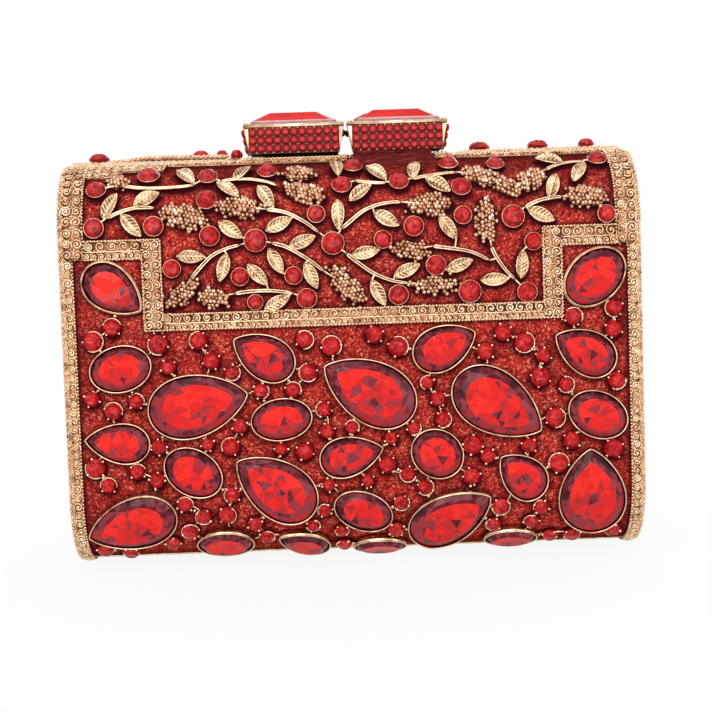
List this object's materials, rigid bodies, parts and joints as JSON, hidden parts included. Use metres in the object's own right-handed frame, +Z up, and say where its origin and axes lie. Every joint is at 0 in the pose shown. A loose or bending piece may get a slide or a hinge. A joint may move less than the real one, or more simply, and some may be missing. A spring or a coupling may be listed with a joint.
{
  "type": "evening bag",
  "caption": "Hard-shell evening bag in red glitter fabric with red crystals, gold filigree bands and vines, a crystal block clasp on top and a full-length hinge below.",
  "frame": {"origin": "centre of the object's box, at the ground the bag stands on", "axes": "+Z up, +X along the bag's length to the right as the front is seen, front faces -Y"},
  "size_m": [0.1732, 0.0582, 0.1342],
  "materials": {
    "case_shell": "moulded, unfinished, hidden under fabric",
    "glitter_fabric": "red woven fabric bonded with red glitter",
    "gold_filigree": "cast openwork, champagne gold plated",
    "gold_vine": "cast stems, leaves and berries, champagne gold plated",
    "lining": "dark red satin",
    "gold_brass": "polished and plated champagne gold",
    "stone_setting": "bright gold plated wire bezel",
    "red_crystal": "faceted, foil backed, red",
    "red_rhinestone": "small, faceted, foil backed, pinkish red"
  },
  "bodies": {
    "back_half": {"back_shell": "case_shell", "back_cover": "glitter_fabric", "back_end_band_left": "gold_filigree", "back_end_band_right": "gold_filigree", "back_flap_band": "gold_filigree", "back_top_rim": "gold_filigree", "back_base_rim": "gold_filigree", "back_mouth_frame": "gold_brass", "back_lining": "lining", "back_hinge_leaf": "gold_brass", "back_pear_bezels": "stone_setting", "back_pear_stones": "red_crystal", "back_oval_bezels": "stone_setting", "back_oval_stones": "red_crystal", "back_round_stones": "red_rhinestone", "back_vine_stems": "gold_vine", "back_vine_leaves": "gold_vine", "back_berry_clusters": "gold_vine", "back_clasp_foot": "gold_brass", "back_clasp_pivot": "gold_brass", "hinge_pin": "gold_brass"},
    "front_half": {"front_shell": "case_shell", "front_cover": "glitter_fabric", "front_end_band_left": "gold_filigree", "front_end_band_right": "gold_filigree", "front_flap_band": "gold_filigree", "front_top_rim": "gold_filigree", "front_base_rim": "gold_filigree", "front_mouth_frame": "gold_brass", "front_lining": "lining", "front_hinge_leaf": "gold_brass", "front_pear_bezels": "stone_setting", "front_pear_stones": "red_crystal", "front_oval_bezels": "stone_setting", "front_oval_stones": "red_crystal", "front_round_stones": "red_rhinestone", "front_vine_stems": "gold_vine", "front_vine_leaves": "gold_vine", "front_berry_clusters": "gold_vine", "front_clasp_foot": "gold_brass", "front_clasp_pivot": "gold_brass"},
    "front_knob": {"front_clasp_case": "gold_brass", "front_clasp_stem": "gold_brass", "front_clasp_rim": "gold_brass", "front_clasp_crystal": "red_crystal", "front_clasp_rhinestones": "red_rhinestone", "front_clasp_catch": "gold_brass"},
    "back_knob": {"back_clasp_case": "gold_brass", "back_clasp_stem": "gold_brass", "back_clasp_rim": "gold_brass", "back_clasp_crystal": "red_crystal", "back_clasp_rhinestones": "red_rhinestone", "back_clasp_catch": "gold_brass"}
  },
  "joints": [
    {"name": "case_hinge", "type": "hinge", "parent": "back_half", "child": "front_half", "pos_m": [0, 0, 0.002], "axis": [1, 0, 0], "range_deg": [0, 75]},
    {"name": "front_knob_tilt", "type": "hinge", "parent": "front_half", "child": "front_knob", "pos_m": [0.01565, -0.0029, 0.1226], "axis": [0, 1, 0], "range_deg": [0, 2.5], "stiffness_Nm_per_rad": 0.5},
    {"name": "back_knob_tilt", "type": "hinge", "parent": "back_half", "child": "back_knob", "pos_m": [-0.01565, 0.0029, 0.1226], "axis": [0, -1, 0], "range_deg": [0, 2.5], "stiffness_Nm_per_rad": 0.5}
  ]
}
